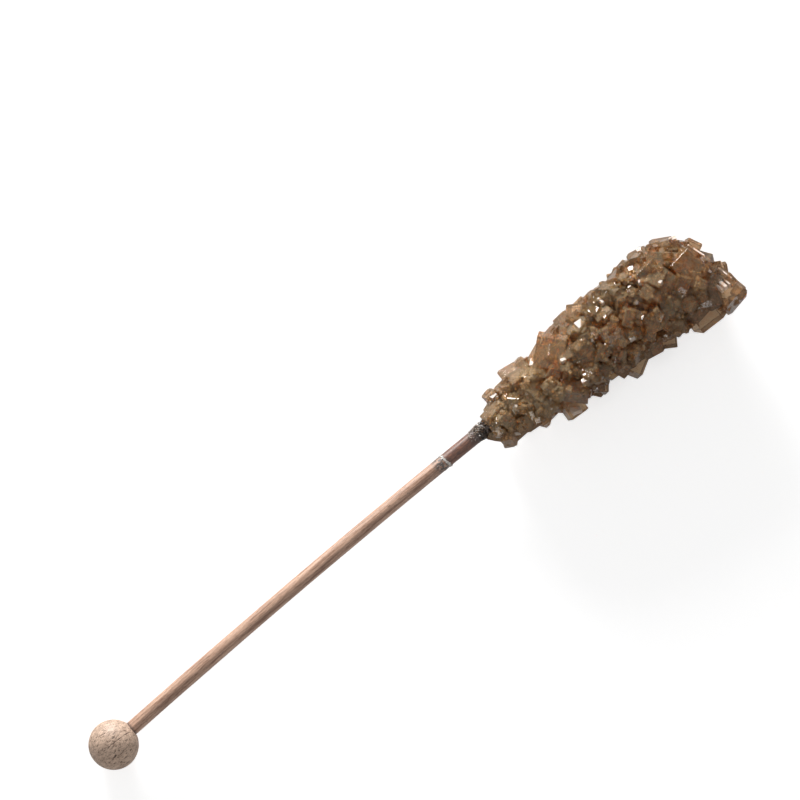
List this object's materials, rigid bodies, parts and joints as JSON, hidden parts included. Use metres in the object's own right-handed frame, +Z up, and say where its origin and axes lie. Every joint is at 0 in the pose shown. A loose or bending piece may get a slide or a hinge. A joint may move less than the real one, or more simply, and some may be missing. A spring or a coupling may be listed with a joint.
{
  "type": "rock candy stick",
  "caption": "Rock candy stick: a club of large brown sugar crystals grown on a thin wooden stick with a wooden ball at the other end, lying down.",
  "frame": {"origin": "centre of the footprint of the whole lying object, on the surface that it rests on", "axes": "+X along the stick from the ball to the sugar, +Z up, +Y to the left of the stick seen from the ball"},
  "size_m": [0.175, 0.0246, 0.0203],
  "materials": {
    "ball_wood": "bare pale beech, sanded",
    "stick_wood": "bare pinkish beech, stained dark near the sugar",
    "brown_sugar": null
  },
  "bodies": {
    "root": {"wood_ball": "ball_wood", "wood_stick": "stick_wood", "rock_candy": "brown_sugar"}
  },
  "joints": []
}
